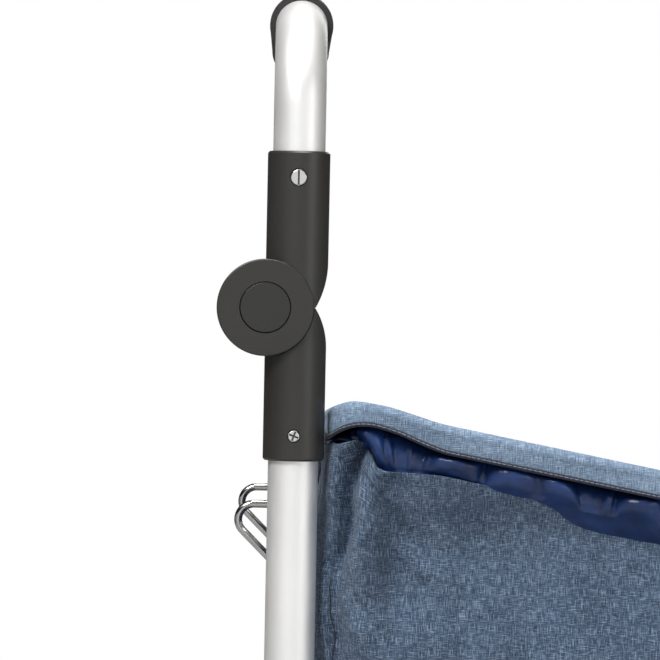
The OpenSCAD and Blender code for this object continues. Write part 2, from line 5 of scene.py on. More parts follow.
import bmesh
import bpy
import numpy as np
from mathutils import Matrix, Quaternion, Vector
from mathutils.bvhtree import BVHTree


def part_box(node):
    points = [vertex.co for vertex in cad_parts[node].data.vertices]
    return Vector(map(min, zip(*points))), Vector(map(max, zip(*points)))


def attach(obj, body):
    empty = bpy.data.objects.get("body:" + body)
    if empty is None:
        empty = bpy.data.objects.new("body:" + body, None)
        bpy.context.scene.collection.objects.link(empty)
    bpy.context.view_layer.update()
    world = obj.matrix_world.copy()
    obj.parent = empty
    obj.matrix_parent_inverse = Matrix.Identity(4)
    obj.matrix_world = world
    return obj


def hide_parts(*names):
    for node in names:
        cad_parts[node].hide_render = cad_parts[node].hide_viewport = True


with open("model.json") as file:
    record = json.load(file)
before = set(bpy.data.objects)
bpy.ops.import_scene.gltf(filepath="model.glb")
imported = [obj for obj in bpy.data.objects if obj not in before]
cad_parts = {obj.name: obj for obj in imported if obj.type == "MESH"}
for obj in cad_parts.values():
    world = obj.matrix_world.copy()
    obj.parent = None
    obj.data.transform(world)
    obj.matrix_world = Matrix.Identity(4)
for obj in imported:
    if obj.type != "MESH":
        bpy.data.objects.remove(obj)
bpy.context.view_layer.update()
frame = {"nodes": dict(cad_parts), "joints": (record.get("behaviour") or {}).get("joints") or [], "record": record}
MM = 0.001


def lo(node):
    return np.array(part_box(node)[0])


def hi(node):
    return np.array(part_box(node)[1])


# ---------------------------------------------------------------- places taken from the frame
TUBE_X = (lo("frame_tube_left")[0] + hi("frame_tube_left")[0]) / 2
TUBE_Y = (lo("frame_tube_left")[1] + hi("frame_tube_left")[1]) / 2
PIVOT_Z = (lo("push_button_left")[2] + hi("push_button_left")[2]) / 2
BAG_LO, BAG_HI = lo("bag_body"), hi("bag_body")
FLAP_LO, FLAP_HI = lo("bag_flap"), hi("bag_flap")
LINER_LO, LINER_HI = lo("bag_liner"), hi("bag_liner")
HINGE = next(j for j in frame["joints"] if j["name"] == "flap_open")["pos_m"]
HINGE_X, HINGE_Z = HINGE[0], HINGE[2]
CORNER_R = 32 * MM
FALL = 0.19                      # slope of the flap and of the bag's mouth


# ---------------------------------------------------------------- camera
def make_camera():
    """Long lens two metres off the left side, a little above the folding joint."""
    distance, lens, roll = 2.0, 219.6, math.radians(1.159)
    data = bpy.data.cameras.new("camera")
    data.sensor_width = 36
    data.lens = lens
    data.clip_start = 0.05
    data.clip_end = 60
    cam = bpy.data.objects.new("camera", data)
    bpy.context.scene.collection.objects.link(cam)
    cam.location = (TUBE_X - 2.7 * MM, TUBE_Y - distance, PIVOT_Z + 19.5 * MM)
    forward = Vector((0.00986, 1, -0.01513))
    cam.rotation_mode = "QUATERNION"
    cam.rotation_quaternion = forward.to_track_quat("-Z", "Y") @ Quaternion((0, 0, 1), roll)
    bpy.context.scene.camera = cam


make_camera()


# ---------------------------------------------------------------- node helpers
class Graph:
    """A small wrapper that adds nodes and links them by input name."""

    def __init__(self, tree):
        self.tree = tree

    def add(self, kind, ins=None, out=0, **props):
        n = self.tree.nodes.new(kind)
        for k, v in props.items():
            setattr(n, k, v)
        for k, v in (ins or {}).items():
            if isinstance(v, bpy.types.NodeSocket):
                self.tree.links.new(v, n.inputs[k])
            else:
                n.inputs[k].default_value = v
        return n.outputs[out]

    def math(self, op, a, b=0.0, c=None, clamp=False):
        ins = {0: a, 1: b}
        if c is not None:
            ins[2] = c
        return self.add("ShaderNodeMath", ins, operation=op, use_clamp=clamp)

    def ramp(self, fac, stops):
        n = self.tree.nodes.new("ShaderNodeValToRGB")
        self.tree.links.new(fac, n.inputs[0])
        while len(n.color_ramp.elements) < len(stops):
            n.color_ramp.elements.new(0.5)
        for e, (at, colour) in zip(n.color_ramp.elements, stops):
            e.position = at
            e.color = (*colour, 1) if len(colour) == 3 else colour
        return n.outputs[0]

    def mix(self, fac, a, b, blend="MIX"):
        return self.add("ShaderNodeMixRGB", {0: fac, 1: a, 2: b}, blend_type=blend)

    def noise(self, vector, scale, detail=2.0, rough=0.5):
        return self.add("ShaderNodeTexNoise", {"Vector": vector, "Scale": scale,
                                               "Detail": detail, "Roughness": rough})

    def stretch(self, vector, scale):
        return self.add("ShaderNodeMapping", {"Vector": vector, "Scale": scale})

    def bump(self, height, strength, distance):
        return self.add("ShaderNodeBump", {"Height": height, "Strength": strength,
                                           "Distance": distance})


def rgb(*c):
    """sRGB 0-255 to linear."""
    return tuple(((v / 255 + 0.055) / 1.055) ** 2.4 if v > 10.3 else v / 255 / 12.92 for v in c)


def material(name, colour, rough, metal=0.0, **more):
    """A material with a Principled shader; returns the material, its graph and its shader."""
    mat = bpy.data.materials.new(name)
    mat.use_nodes = True
    g = Graph(mat.node_tree)
    shader = mat.node_tree.nodes["Principled BSDF"]
    shader.inputs["Base Color"].default_value = (*colour, 1)
    shader.inputs["Roughness"].default_value = rough
    shader.inputs["Metallic"].default_value = metal
    for k, v in more.items():
        shader.inputs[k.replace("_", " ")].default_value = v
    return mat, g, shader


def link(g, out, shader, name):
    g.tree.links.new(out, shader.inputs[name])


def object_coords(g):
    return g.add("ShaderNodeTexCoord", out=3)


# ---------------------------------------------------------------- hard materials
def brushed_metal(name, colour, rough, along=(1, 1, 0.02), depth=0.00002, metal=1.0):
    """Satin aluminium: fine lines along one axis and faint cloudy roughness."""
    mat, g, sh = material(name, colour, rough, metal)
    at = object_coords(g)
    lines = g.noise(g.stretch(at, along), 2600, 3)
    cloud = g.noise(at, 38, 3)
    tone = g.mix(0.5, g.ramp(lines, [(0.3, [c * 0.94 for c in colour]), (0.7, colour)]),
                 g.ramp(cloud, [(0.35, [c * 0.96 for c in colour]), (0.65, colour)]))
    link(g, tone, sh, "Base Color")
    link(g, g.math("MULTIPLY_ADD", cloud, 0.16, rough - 0.08), sh, "Roughness")
    link(g, g.bump(lines, 0.25, depth), sh, "Normal")
    return mat


def moulded(name, colour, rough, grain=1500, depth=0.00006, coat=0.0):
    """Moulded plastic or rubber: fine spark-eroded grain, flow marks and slightly shiny wear."""
    mat, g, sh = material(name, colour, rough, Coat_Weight=coat)
    at = object_coords(g)
    fine = g.noise(at, grain, 2)
    wide = g.noise(at, 24, 4)
    tone = g.ramp(wide, [(0.3, [c * 0.88 for c in colour]), (0.7, [min(1, c * 1.1) for c in colour])])
    link(g, tone, sh, "Base Color")
    link(g, g.math("MULTIPLY_ADD", wide, 0.18, rough - 0.09), sh, "Roughness")
    link(g, g.bump(fine, 0.35, depth), sh, "Normal")
    return mat


MATS = {
    "frame_aluminium": brushed_metal("aluminium_satin", (0.91, 0.905, 0.89), 0.44, metal=0.66),
    "chrome_wire": brushed_metal("chrome_polished", (0.45, 0.445, 0.44), 0.09, (1, 1, 1), 0.000004),
    "knuckle_plastic": moulded("plastic_charcoal", (0.022, 0.021, 0.019), 0.38),
    "button_plastic": moulded("plastic_button", (0.016, 0.016, 0.015), 0.4),
    "fastener_steel": brushed_metal("steel_plated", (0.62, 0.62, 0.61), 0.24, (1, 1, 1)),
    "lock_plastic": moulded("plastic_grey", (0.25, 0.25, 0.26), 0.5),
    "grip_rubber": moulded("rubber_grip", (0.022, 0.019, 0.020), 0.62, 900, 0.00012),
    "base_plastic": moulded("plastic_black", (0.03, 0.03, 0.032), 0.5),
    "wheel_plastic": moulded("plastic_wheel", (0.30, 0.31, 0.32), 0.42),
    "tyre_rubber": moulded("rubber_tyre", (0.022, 0.022, 0.022), 0.75, 700, 0.0002),
}


# ---------------------------------------------------------------- fabric materials
def heather(name, dark, mid, light, sheen=0.06):
    """Slub weave seen from UVs in metres: crossing streaks of pale and dark thread."""
    mat, g, sh = material(name, mid, 0.9, Sheen_Weight=sheen, Sheen_Roughness=0.5)
    uv = g.add("ShaderNodeTexCoord", out=2)
    weft = g.noise(g.stretch(uv, (260, 4200, 1)), 1, 2, 0.6)
    warp = g.noise(g.stretch(uv, (4200, 230, 1)), 1, 2, 0.6)
    both = g.math("MULTIPLY", g.math("ADD", weft, warp), 0.5)
    patch = g.noise(g.stretch(uv, (26, 18, 1)), 1, 3)
    both = g.math("ADD", both, g.math("MULTIPLY_ADD", patch, 0.1, -0.05))
    tone = g.ramp(both, [(0.38, dark), (0.48, mid), (0.53, mid), (0.64, light)])
    # a few thicker, paler slubs each way
    for scale in ((200, 3000, 1), (3000, 170, 1)):
        slub = g.noise(g.stretch(uv, scale), 1, 1)
        mask = g.add("ShaderNodeMapRange", {"Value": slub, "From Min": 0.58, "From Max": 0.74})
        tone = g.mix(g.math("MULTIPLY", mask, 0.8), tone, (*light, 1))
        gap = g.add("ShaderNodeMapRange", {"Value": slub, "From Min": 0.42, "From Max": 0.28})
        tone = g.mix(g.math("MULTIPLY", gap, 0.7), tone, (*dark, 1))
    link(g, tone, sh, "Base Color")
    threads = g.math("ADD", *(g.add("ShaderNodeTexWave", {"Vector": uv, "Scale": 320.0, "Distortion": 0.6},
                                    out=1, bands_direction=d) for d in ("X", "Y")))
    height = g.math("MULTIPLY_ADD", both, 2.0, g.math("MULTIPLY", threads, 0.3))
    link(g, g.bump(height, 0.6, 0.0003), sh, "Normal")
    return mat


def satin(name, colour, light):
    """Lining satin: smooth, with a broad sheen and faint crinkles."""
    mat, g, sh = material(name, colour, 0.33, Sheen_Weight=0.03, Sheen_Roughness=0.35)
    at = object_coords(g)
    cloud = g.noise(at, 60, 3)
    link(g, g.ramp(cloud, [(0.3, colour), (0.75, light)]), sh, "Base Color")
    ribs = g.noise(g.stretch(at, (1, 1, 0.15)), 1800, 2)
    crinkle = g.noise(at, 170, 3)
    height = g.math("MULTIPLY_ADD", crinkle, 3.0, ribs)
    link(g, g.bump(height, 0.3, 0.0002), sh, "Normal")
    return mat


def webbing(name, colour):
    """Woven tape: a herringbone of short ribs."""
    mat, g, sh = material(name, colour, 0.8, Sheen_Weight=0.2)
    at = object_coords(g)
    rib = g.add("ShaderNodeTexWave", {"Vector": at, "Scale": 260.0, "Distortion": 1.5, "Detail": 2.0},
                out=1, bands_direction="DIAGONAL")
    fine = g.noise(at, 1500, 2)
    link(g, g.ramp(fine, [(0.3, [c * 0.7 for c in colour]), (0.7, [c * 1.5 for c in colour])]), sh, "Base Color")
    link(g, g.bump(g.math("ADD", rib, fine), 0.5, 0.0003), sh, "Normal")
    return mat


BODY_CLOTH = heather("cloth_body", rgb(18, 30, 48), rgb(57, 76, 100), rgb(145, 165, 188))
# the flap's cloth is the body's fabric painted lighter: painted light that stands in for the top light falling on the
# flap's skirt
FLAP_CLOTH_PAINTED_LIT = heather("cloth_flap", rgb(70, 88, 112), rgb(108, 130, 154), rgb(168, 186, 204))
SATIN = satin("cloth_satin", rgb(14, 34, 74), rgb(30, 64, 124))
LINING = satin("cloth_lining", rgb(16, 20, 40), rgb(26, 34, 62))
PIPING = webbing("cloth_piping", rgb(26, 28, 44))
STITCH = webbing("thread_pale", rgb(100, 112, 132))
TAPE = webbing("cloth_tape", rgb(30, 34, 52))

# Finish of each CAD node that stays
for sub in frame["record"]["subparts"]:
    finish = MATS.get(sub["material_slot"])
    if sub["node"].startswith("push_button"):
        finish = MATS["button_plastic"]
    if finish:
        for held in frame["nodes"][sub["node"]].material_slots:
            held.material = finish


# ---------------------------------------------------------------- mesh helpers
def make_object(name, verts, faces, mat, uv=None, body="frame"):
    """Mesh object from arrays; uv is one pair of metres for each face corner."""
    mesh = bpy.data.meshes.new(name)
    mesh.from_pydata([tuple(v) for v in verts], [], [tuple(f) for f in faces])
    mesh.validate()
    if uv is not None:
        layer = mesh.uv_layers.new(name="cloth")
        layer.data.foreach_set("uv", np.asarray(uv, np.float32).ravel())
    mesh.shade_smooth()
    mesh.materials.append(mat)
    obj = bpy.data.objects.new(name, mesh)
    bpy.context.scene.collection.objects.link(obj)
    return obj


def grid_faces(rows, cols):
    """Quads between rows of a grid that closes on itself along its columns."""
    return [(r * cols + c, r * cols + (c + 1) % cols, (r + 1) * cols + (c + 1) % cols, (r + 1) * cols + c)
            for r in range(rows - 1) for c in range(cols)]


def loft(name, rings, mat, uv_rings=None, wrap=0.0, cap=()):
    """Closed loft through rings of equal count. uv_rings holds (u, v) of each point, wrap is the
    width of one turn in u, and cap names the ends that are closed with one face."""
    rings = np.asarray(rings, float)
    rows, cols = rings.shape[:2]
    faces = grid_faces(rows, cols)
    uv = None
    if uv_rings is not None:
        flat = np.asarray(uv_rings, float).reshape(-1, 2)
        uv = []
        for f in faces:
            c = f[0] % cols
            for k in f:
                u, v = flat[k]
                uv.append((u + (wrap if c == cols - 1 and k % cols == 0 else 0), v))
    for end in cap:
        first = 0 if end == 0 else (rows - 1) * cols
        face = [first + c for c in (range(cols) if end else reversed(range(cols)))]
        faces.append(tuple(face))
        if uv is not None:
            uv += [tuple(flat[k]) for k in face]
    return make_object(name, rings.reshape(-1, 3), faces, mat, uv)


def outline(x0, x1, half_w, r, n):
    """n points round a rounded rectangle from the middle of the back wall, by way of -Y.
    Returns x, y, outward normals and the length along the edge."""
    length = 2 * (x1 - x0 + 2 * half_w) - 8 * r + 2 * math.pi * r
    s = np.arange(n) * length / n
    straight = [half_w - r, x1 - x0 - 2 * r, 2 * (half_w - r), x1 - x0 - 2 * r, half_w - r]
    centres = [(x0 + r, -half_w + r), (x1 - r, -half_w + r), (x1 - r, half_w - r), (x0 + r, half_w - r)]
    starts = [(x0, 0), (x0 + r, -half_w), (x1, -half_w + r), (x1 - r, half_w), (x0, half_w - r)]
    ways = [(0, -1), (1, 0), (0, 1), (-1, 0), (0, -1)]
    out = np.zeros((n, 4))
    for i, d in enumerate(s):
        for k in range(5):
            if d <= straight[k]:
                (px, py), (wx, wy) = starts[k], ways[k]
                out[i] = (px + wx * d, py + wy * d, wy, -wx)
                break
            d -= straight[k]
            arc = math.pi / 2 * r
            if k < 4 and d <= arc:
                a = -math.pi + k * math.pi / 2 + d / r
                nx, ny = math.cos(a), math.sin(a)
                out[i] = (centres[k][0] + r * nx, centres[k][1] + r * ny, nx, ny)
                break
            d -= arc
    return out[:, 0], out[:, 1], out[:, 2], out[:, 3], s, length


def waves(p, seed, scale, count=7):
    """Smooth seeded noise between about -1 and 1 at points p, an (n, 3) array."""
    rng = np.random.default_rng(seed)
    total = np.zeros(len(p))
    for _ in range(count):
        way = rng.normal(size=3)
        way *= rng.uniform(0.6, 1.5) / np.linalg.norm(way) * 2 * math.pi / scale
        total += np.sin(p @ way + rng.uniform(0, 6.28))
    return total / math.sqrt(count)


def smooth(a, b, v):
    t = np.clip((v - a) / (b - a), 0, 1)
    return t * t * (3 - 2 * t)


def bell(v, at, width):
    return np.exp(-((v - at) / width) ** 2)


def tube(name, path, radius, mat, sides=8, closed=True, flat=1.0):
    """Tube swept along a path; flat squeezes it across its sideways direction."""
    path = np.asarray(path, float)
    if closed:
        way = np.roll(path, -1, 0) - np.roll(path, 1, 0)
    else:
        way = np.gradient(path, axis=0)
    way /= np.linalg.norm(way, axis=1)[:, None]
    up = np.tile((0.0, 0.0, 1.0), (len(path), 1))
    steep = np.abs(way[:, 2]) > 0.8
    up[steep] = (0.0, 1.0, 0.0) if not closed else (1.0, 0.0, 0.0)
    side = np.cross(way, up)
    side /= np.linalg.norm(side, axis=1)[:, None]
    up = np.cross(side, way)
    a = np.arange(sides) * 2 * math.pi / sides
    rings = path[:, None] + radius * (np.cos(a)[None, :, None] * side[:, None] * flat
                                      + np.sin(a)[None, :, None] * up[:, None])
    n = len(path)
    verts = rings.reshape(-1, 3)
    last = n if closed else n - 1
    faces = [(i * sides + k, i * sides + (k + 1) % sides,
              (i + 1) % n * sides + (k + 1) % sides, (i + 1) % n * sides + k)
             for i in range(last) for k in range(sides)]
    if not closed:
        faces += [tuple(reversed(range(sides))), tuple((n - 1) * sides + k for k in range(sides))]
    return make_object(name, verts, faces, mat)


def apply_modifiers(obj):
    """Replaces obj's mesh with what its modifiers make of it."""
    graph = bpy.context.evaluated_depsgraph_get()
    done = bpy.data.meshes.new_from_object(obj.evaluated_get(graph), depsgraph=graph)
    obj.modifiers.clear()
    obj.data = done


# ---------------------------------------------------------------- bag body
def mouth_z(x):
    """Height of the bag's top edge at x: a lump and a crest at the back corner, then a long slope."""
    b = BAG_LO[0]
    at = b + np.array([0, 6, 10, 14, 17, 20, 22.5, 25, 27, 32, 60, (BAG_HI[0] - b) / MM]) * MM
    drop = np.array([20, 17, 17.5, 16, 15, 17, 20.5, 24.5, 28.5, 30.5, 32.2, 70.8]) * MM
    return HINGE_Z - np.interp(x, at, drop)


def plain_mouth_z(x):
    """The same edge without its crest, for the coarse mesh."""
    b = BAG_LO[0]
    return HINGE_Z - np.interp(x, [b, b + 60 * MM, BAG_HI[0]], np.array([24, 32.2, 70.8]) * MM)


def coords(obj):
    co = np.empty(len(obj.data.vertices) * 3, np.float32)
    obj.data.vertices.foreach_get("co", co)
    return co.reshape(-1, 3).astype(float)


def set_coords(obj, co):
    obj.data.vertices.foreach_set("co", np.asarray(co, np.float32).ravel())
    obj.data.update()


def slump(obj, held, frames, cap, grow=0.03, stiffness=6, bend=2.0):
    """Cloth simulation of a sheet that is a little too large for where it is held, so that it
    buckles and sags. Points move at most cap from where they started."""
    start = coords(obj)
    group = obj.vertex_groups.new(name="held")
    for i, w in enumerate(held):
        if w > 0:
            group.add([i], float(w), "REPLACE")
    cloth = obj.modifiers.new("cloth", "CLOTH")
    s = cloth.settings
    s.quality = 5
    s.mass = 0.25
    s.tension_stiffness = s.compression_stiffness = stiffness
    s.shear_stiffness = 3
    s.bending_stiffness = bend
    s.shrink_min = -grow
    s.vertex_group_mass = "held"
    cloth.collision_settings.use_collision = False
    cloth.point_cache.frame_start, cloth.point_cache.frame_end = 1, frames
    scene = bpy.context.scene
    for f in range(1, frames + 1):
        scene.frame_set(f)
    apply_modifiers(obj)
    scene.frame_set(1)
    moved = coords(obj) - start
    far = np.linalg.norm(moved, axis=1)
    moved *= (np.minimum(far, cap) / np.maximum(far, 1e-9))[:, None]
    set_coords(obj, start + moved)
    obj.vertex_groups.clear()


def back_bulge(x, y, z):
    """How far the slack back panel hangs out behind the bag, between the straps and the tubes."""
    side = np.abs(y)
    lane = smooth(0.060, 0.082, side) * (1 - smooth(0.118, 0.138, side))
    height = smooth(0, 0.05, z - BAG_LO[2]) * (1 - smooth(-0.05, -0.015, z - mouth_z(BAG_LO[0])))
    return 4.0 * MM * lane * height


def make_bag():
    cols, rows = 180, 96
    x, y, nx, ny, s, turn = outline(BAG_LO[0], BAG_HI[0], BAG_HI[1], CORNER_R, cols)
    top = plain_mouth_z(x)
    foot = BAG_LO[2]
    rings, uvs = [], []
    # floor, drawn from its middle outwards
    mid = np.array([(BAG_LO[0] + BAG_HI[0]) / 2, 0])
    for share in (0.05, 0.3, 0.6, 0.85, 0.965):
        rings.append(np.stack([mid[0] + (x - mid[0]) * share, y * share, np.full(cols, foot + 0.2 * MM)], 1))
        uvs.append(np.stack([x * share, y * share], 1))
    for k in range(rows):
        t = k / (rows - 1)
        z = foot + t * (top - foot)
        roll = 6 * MM * (1 - np.sqrt(np.clip(1 - (1 - np.minimum((z - foot) / (6 * MM), 1)) ** 2, 0, 1)))
        belly = 3.0 * MM * math.sin(math.pi * min(1, t * 1.15)) * bell(np.abs(nx) + np.abs(ny), 1.0, 0.12)
        belly[nx < -0.5] = 0
        out = belly - roll - 1.0 * MM
        rings.append(np.stack([x + nx * out, y + ny * out, z], 1))
        uvs.append(np.stack([s, z], 1))
    # hem turned down inside the mouth
    for deep, back in ((-0.8, 1.3), (3, 2.0), (12, 2.2)):
        rings.append(np.stack([x - nx * (back + 1) * MM, y - ny * (back + 1) * MM, top - deep * MM], 1))
        uvs.append(np.stack([s, top - deep * MM], 1))
    bag = loft("bag_shell", rings, BODY_CLOTH, uvs, turn, cap=(0,))
    co = coords(bag)
    first = 5 * cols
    held = np.zeros(len(co))
    held[:first + 3 * cols] = 1
    held[(5 + rows - 3) * cols:] = 1
    held[co[:, 0] < BAG_LO[0] + 6 * MM] = 1
    slump(bag, held, 22, 7 * MM, 0.035)
    sub = bag.modifiers.new("fine", "SUBSURF")
    sub.levels = sub.render_levels = 2
    apply_modifiers(bag)
    return bag


def wall_normals(co):
    """Outward direction, in plan, of each point on the bag's walls; zero on its floor."""
    out = np.zeros_like(co)
    out[:, 0] = co[:, 0] - np.clip(co[:, 0], BAG_LO[0] + CORNER_R, BAG_HI[0] - CORNER_R)
    out[:, 1] = co[:, 1] - np.clip(co[:, 1], BAG_LO[1] + CORNER_R, BAG_HI[1] - CORNER_R)
    size = np.linalg.norm(out, axis=1)
    wall = size > 0.6 * CORNER_R
    out[wall] /= size[wall][:, None]
    out[~wall] = 0
    return out


def crease(along, across, points, width, height):
    """Ridge (or valley) along a line: points are (along, across) pairs in millimetres."""
    a, b = np.array(points).T
    line = np.interp(along, a * MM, b * MM)
    return height * MM * bell(across, line, width * MM)


def shape_bag(bag):
    """Folds that the slack cloth makes near its back corners and along its walls."""
    co = coords(bag)
    out = wall_normals(co)
    back = co[:, 0] - BAG_LO[0]
    below = mouth_z(BAG_LO[0]) + 5 * MM - co[:, 2]
    side = smooth(0.11, 0.14, np.abs(co[:, 1]))
    fade = 1 - smooth(90 * MM, 210 * MM, below)
    # the top edge rises to its crest
    co[:, 2] += (mouth_z(co[:, 0]) - plain_mouth_z(co[:, 0])) * (1 - smooth(5 * MM, 60 * MM, below))
    # the cloth is drawn up over the back corner in one broad fold, with a hollow before it
    ridge = ((0, 20), (4, 16.5), (10, 12.5), (16, 9.5), (29, 6), (44, 5), (60, 3.5), (110, 2))
    hollow = ((0, 34), (8, 25), (14, 18.5), (20, 15.5), (29, 14), (45, 12.5), (54, 10.5), (62, 8.5), (80, 8), (120, 9))
    second = ((0, 50), (19, 23.5), (44, 22.5), (64, 19), (80, 17), (120, 18))
    ease = 1 - 0.6 * smooth(46 * MM, 72 * MM, below)
    d = side * fade * (crease(below, back, ridge, 6.5, 4.0) + crease(below, back, hollow, 4.4, -7.0) * ease
                       + crease(below, back, second, 7, 2.5))
    toward = side * fade * (crease(below, back, ridge, 7, 5.0) + crease(below, back, hollow, 4.6, -8.0) * ease
                            + crease(below, back, second, 8, 2.5))
    # the mouth falls inwards ahead of the fold
    d -= 3.2 * MM * side * smooth(24 * MM, 32 * MM, back) * bell(mouth_z(co[:, 0]) - co[:, 2], 4 * MM, 14 * MM)
    # a broad hollow below the mouth, with slanting wrinkles across it
    wide = side * smooth(17 * MM, 40 * MM, back) * (1 - smooth(150 * MM, 230 * MM, back))
    d -= 17.0 * MM * wide * np.where(below < 50 * MM, bell(below, 50 * MM, 21 * MM), bell(below, 50 * MM, 42 * MM))
    slant = side * bell(back, 46 * MM, 26 * MM)
    d += slant * (crease(back, below, ((18, 20), (39, 42), (48, 52), (70, 60)), 5.5, -3.0)
                  + crease(back, below, ((18, 32), (39, 53), (48, 63), (70, 70)), 5, 2.4)
                  + crease(back, below, ((30, 84), (50, 78), (75, 88)), 6, -1.8))
    pull = co.copy()
    pull[:, 2] += 0.35 * pull[:, 0]
    pull[:, 2] *= 0.55
    low = mouth_z(co[:, 0]) - co[:, 2]
    d += 2.4 * MM * waves(pull, 5, 95 * MM) * smooth(4 * MM, 50 * MM, low)
    d += 1.3 * MM * waves(co * (1, 1, 0.5), 9, 44 * MM) * smooth(4 * MM, 35 * MM, low)
    d += 0.45 * MM * waves(co * (1, 1, 0.7), 14, 19 * MM) * smooth(4 * MM, 25 * MM, low)
    d *= smooth(0, 25 * MM, co[:, 2] - BAG_LO[2])
    rear = out[:, 0] < -0.95
    d[rear] = np.clip(d[rear], -1.5 * MM, 0) * 0.5
    d = np.clip(d, -21 * MM, 6.5 * MM)
    d += back_bulge(*co.T) * np.clip(-out[:, 0], 0, 1)
    co += out * d[:, None]
    co[:, 1] += np.sign(co[:, 1]) * toward * smooth(0.2, 0.6, np.abs(out[:, 1]))
    # never into the side tubes
    near = np.abs(np.abs(co[:, 1]) - abs(TUBE_Y)) < 16 * MM
    co[near, 0] = np.maximum(co[near, 0], BAG_LO[0] - 0.8 * MM)
    set_coords(bag, co)


bag = make_bag()
shape_bag(bag)
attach(bag, "frame")
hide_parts("bag_body")


# ---------------------------------------------------------------- heights of the flap
def lean_down(x, y):
    """The soft top of the bag leans: its right side lies lower than its left."""
    return 12 * MM * np.clip((y - BAG_LO[1]) / (BAG_HI[1] - BAG_LO[1]), 0, 1)


def soft_interp(x, xs, zs, spread=5 * MM):
    """Piecewise curve through (xs, zs), rounded over the given spread."""
    total = np.zeros_like(np.asarray(x, float))
    shifts = np.linspace(-spread, spread, 7)
    for shift in shifts:
        total += np.interp(np.asarray(x) + shift, xs, zs)
    return total / len(shifts)


def flap_under(x):
    """Height of the flap's bound lower edge at x, on its left side."""
    b = BAG_LO[0]
    xs = b + np.array([-8, 1, 4, 9, 14, 19, 24, 29, 39, 49, 60, FLAP_HI[0] / MM - b / MM]) * MM
    drop = [26, 16, 13.4, 10.2, 8.3, 7.6, 7.8, 8.8, 12.0, 16.4, 20.6, 20.6 + FALL * (xs[-1] - xs[-2]) / MM]
    return HINGE_Z - soft_interp(x, xs, drop, 3 * MM) * MM


# ---------------------------------------------------------------- liner
def make_liner():
    """Satin collar gathered round the mouth: uneven pleats that puff up under the flap."""
    cols, rows = 960, 54
    x, y, nx, ny, s, turn = outline(BAG_LO[0], BAG_HI[0], BAG_HI[1], CORNER_R, cols)
    mid_x = (BAG_LO[0] + BAG_HI[0]) / 2
    mx, my = outline(mid_x - 50 * MM, mid_x + 50 * MM, 60 * MM, 20 * MM, cols)[:2]
    # puffs of unlike width, with two or three narrow pleats between each pair of them
    rng = np.random.default_rng(11)
    widths = []
    while sum(widths) < turn / MM:
        widths.append(rng.uniform(18, 27))
        widths += list(rng.uniform(2.0, 5.5, rng.integers(1, 4)))
    widths = np.array(widths)
    valley = (165 * MM + np.concatenate([[0], np.cumsum(widths)[:-1]]) * turn / widths.sum()) % turn
    widths *= turn / widths.sum()
    lean = rng.uniform(-12, 12, len(widths)) * MM
    edge = mouth_z(x) - lean_down(x, y)
    room = flap_under(x) - lean_down(x, y)
    rings = []
    for k in range(rows):
        t = k / (rows - 1)
        fold = np.zeros(cols)
        for v, w, tip in zip(valley, widths, lean):
            u = (s - tip * math.sin(2.4 * t) - v) % turn / w
            held = u < 1
            round_ = np.sqrt(np.clip(1 - (2 * u[held] - 1) ** 2, 0, 1))
            fold[held] = np.maximum(fold[held], round_ * min(1, (w / (16 * MM)) ** 0.6))
        fold -= 1
        if t < 0.2:
            u = t / 0.2
            inset = (22 - 14 * u) * MM
            px, py = x - nx * inset, y - ny * inset
            z = edge - 14 * MM * (1 - u)
            out, rise = 0, 0
        elif t < 0.5:
            u = (t - 0.2) / 0.3
            a = u * math.pi / 2
            swell = 8.5 * MM * math.sin(math.pi * u) ** 0.8
            away = 8.0 * MM + 5 * MM * (1 - math.cos(a))
            px, py = x - nx * away, y - ny * away
            z = edge + (room - edge + 1.0 * MM) * math.sin(a)
            out, rise = swell + 6.5 * MM * fold * (0.35 + math.sin(math.pi * u)), 1.0 * MM * fold
        else:
            u = (t - 0.5) / 0.5
            px = (x - nx * 13 * MM) * (1 - u) + mx * u
            py = (y - ny * 13 * MM) * (1 - u) + my * u
            z = room + 1.0 * MM - 9 * MM * u
            out, rise = 0, 4.5 * MM * fold * (0.5 + 0.8 * u) - 3 * MM * math.sin(math.pi * u)
        rings.append(np.stack([px + nx * out, py + ny * out, z + rise], 1))
    # the rim turns down inside the mouth
    last = rings[-1]
    centre = np.array([mid_x, 0, 0])
    rings.append(last + (last - centre) * (-0.02, -0.02, 0) + (0, 0, -3 * MM))
    rings.append(last + (last - centre) * (0.04, 0.04, 0) + (0, 0, -9 * MM))
    rings = np.array(rings)
    p = rings.reshape(-1, 3)
    p[:, 2] += 0.8 * MM * waves(p, 21, 24 * MM)
    tight = 1 - np.abs(waves(p * (1, 1, 0.6), 23, 11 * MM))
    p += (p - (mid_x, 0, 0)) * (1, 1, 0) * (2.2 * MM * np.clip(tight, 0, 1) ** 3)[:, None]
    return loft("liner_satin", rings, SATIN)


liner = make_liner()
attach(liner, "frame")
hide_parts("bag_liner")


# ---------------------------------------------------------------- flap
def flap_over(x):
    """Height of the flap's shoulder at x, on its left side."""
    b = BAG_LO[0]
    xs = b + np.array([-4, 1, 6, 11, 16, 23, 33, 43, 53, 59, FLAP_HI[0] / MM - b / MM]) * MM
    rise = [-3.4, 1.1, 3.4, 4.5, 4.6, 3.8, 2.0, -1.0, -4.2, -6.0, -6.0 - FALL * (xs[-1] - xs[-2]) / MM]
    return HINGE_Z + soft_interp(x, xs, rise, 4 * MM) * MM


